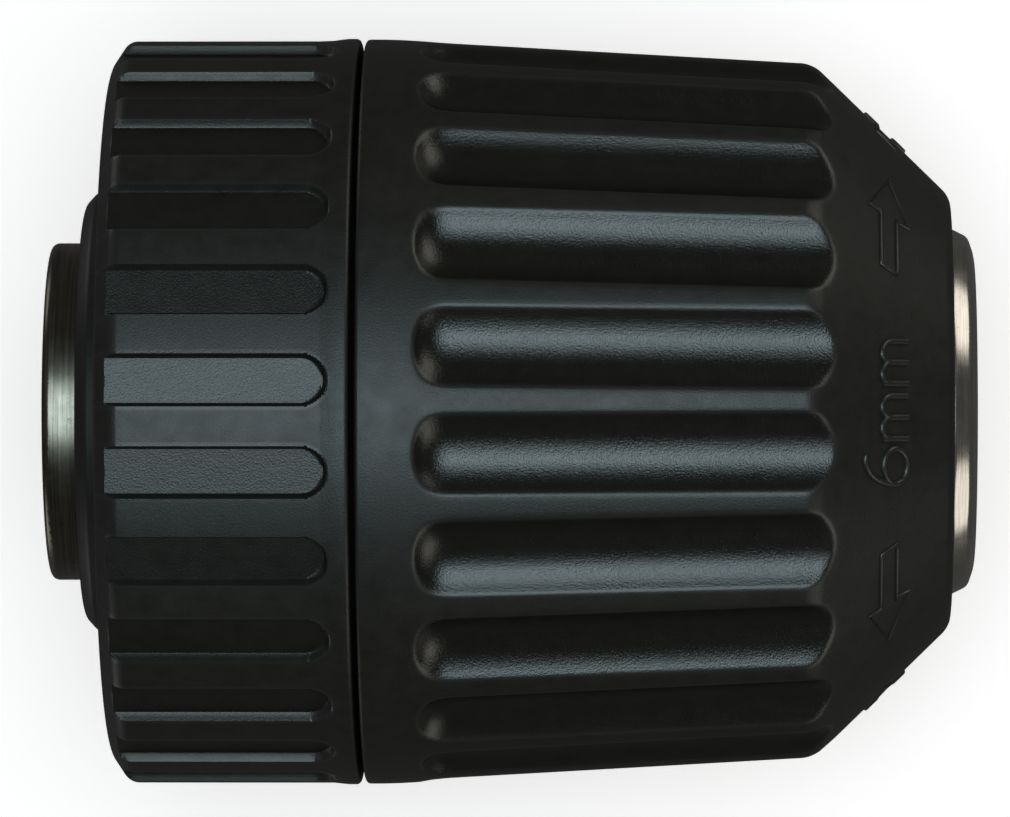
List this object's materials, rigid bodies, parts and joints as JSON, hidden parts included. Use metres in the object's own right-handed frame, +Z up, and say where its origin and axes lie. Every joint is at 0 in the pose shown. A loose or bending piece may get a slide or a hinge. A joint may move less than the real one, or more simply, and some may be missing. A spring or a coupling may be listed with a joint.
{
  "type": "drill chuck",
  "caption": "Keyless drill chuck: three inclined jaws driven by a split threaded nut inside a fluted front sleeve, with a padded rear sleeve and a threaded spindle socket.",
  "frame": {"origin": "centre of the spindle thread's mouth, on the rear face", "axes": "+X along the chuck's axis towards the nose; +Z up, through the first jaw; +Y makes the frame right-handed"},
  "size_m": [0.0421, 0.034, 0.034],
  "materials": {
    "steel_turned": "turned",
    "steel_polished": "polished",
    "nylon_black": "satin moulded",
    "steel_hardened": "oiled, heat treated",
    "steel_bearing": "ground",
    "cage_nylon": "moulded",
    "steel_jaw": "hardened, phosphated"
  },
  "bodies": {
    "body": {"chuck_body": "steel_turned", "rear_sleeve": "nylon_black", "nosepiece": "steel_polished", "rear_race": "steel_bearing"},
    "sleeve": {"front_sleeve": "nylon_black", "nut_half_a": "steel_hardened", "nut_half_b": "steel_hardened", "nut_band": "steel_hardened", "front_race": "steel_bearing"},
    "ball_set": {"ball_cage": "cage_nylon", "ball_01": "steel_bearing", "ball_02": "steel_bearing", "ball_03": "steel_bearing", "ball_04": "steel_bearing", "ball_05": "steel_bearing", "ball_06": "steel_bearing", "ball_07": "steel_bearing", "ball_08": "steel_bearing", "ball_09": "steel_bearing", "ball_10": "steel_bearing", "ball_11": "steel_bearing", "ball_12": "steel_bearing", "ball_13": "steel_bearing", "ball_14": "steel_bearing", "ball_15": "steel_bearing", "ball_16": "steel_bearing"},
    "jaw_1": {"jaw_1": "steel_jaw"},
    "jaw_2": {"jaw_2": "steel_jaw"},
    "jaw_3": {"jaw_3": "steel_jaw"}
  },
  "joints": [
    {"name": "sleeve_turn", "type": "hinge", "parent": "body", "child": "sleeve", "pos_m": [0, 0, 0], "axis": [-1, 0, 0], "range_deg": [0, 2480]},
    {"name": "ball_roll", "type": "hinge", "parent": "body", "child": "ball_set", "pos_m": [0, 0, 0], "axis": [-1, 0, 0], "range_deg": [0, 1241]},
    {"name": "jaw_1_slide", "type": "slide", "parent": "body", "child": "jaw_1", "axis": [0.9563, 0, -0.2924], "range_m": [0, 0.0102]},
    {"name": "jaw_2_slide", "type": "slide", "parent": "body", "child": "jaw_2", "axis": [0.9563, 0.2532, 0.1462], "range_m": [0, 0.0102]},
    {"name": "jaw_3_slide", "type": "slide", "parent": "body", "child": "jaw_3", "axis": [0.9563, -0.2532, 0.1462], "range_m": [0, 0.0102]}
  ],
  "couplings": [
    {"joint": "ball_roll", "follows": "sleeve_turn", "ratio": 0.5},
    {"joint": "jaw_1_slide", "follows": "sleeve_turn", "m_per_rad": 0.00023485},
    {"joint": "jaw_2_slide", "follows": "sleeve_turn", "m_per_rad": 0.00023485},
    {"joint": "jaw_3_slide", "follows": "sleeve_turn", "m_per_rad": 0.00023485}
  ]
}
